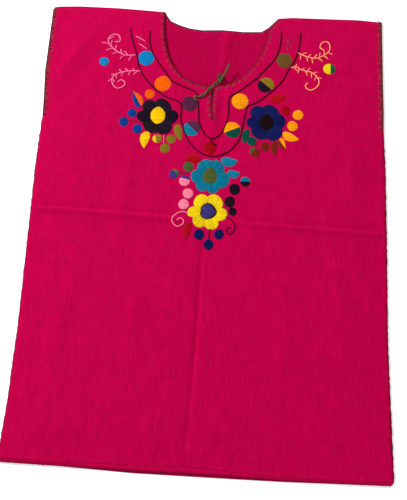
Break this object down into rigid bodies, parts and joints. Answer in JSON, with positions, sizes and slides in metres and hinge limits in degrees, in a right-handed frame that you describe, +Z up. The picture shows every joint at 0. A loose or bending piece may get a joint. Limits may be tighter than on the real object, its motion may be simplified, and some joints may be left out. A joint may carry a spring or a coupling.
{
  "type": "embroidered blouse laid flat",
  "caption": "Straight sleeveless pull-on blouse laid flat, round neck with a front slit and tie cord, crocheted edges, raised satin-stitch flowers round the yoke.",
  "frame": {"origin": "on the surface the blouse lies on, at the middle of its width and of its length", "axes": "+X across the garment to the right as seen from above its front, +Y from the hem to the shoulders, +Z up out of the surface"},
  "size_m": [0.587, 0.7829, 0.015],
  "materials": {
    "cloth": "matt plain-weave cotton, magenta red",
    "edging": "crocheted cotton thread, olive green",
    "tie": "crocheted chain cord, green cotton"
  },
  "bodies": {
    "root": {"front_panel": "cloth", "back_panel": "cloth", "front_neck_edging": "edging", "back_neck_edging": "edging", "left_armhole_edging": "edging", "right_armhole_edging": "edging", "tie_knot": "tie", "tie_left_end": "tie", "tie_right_end": "tie"}
  },
  "joints": []
}
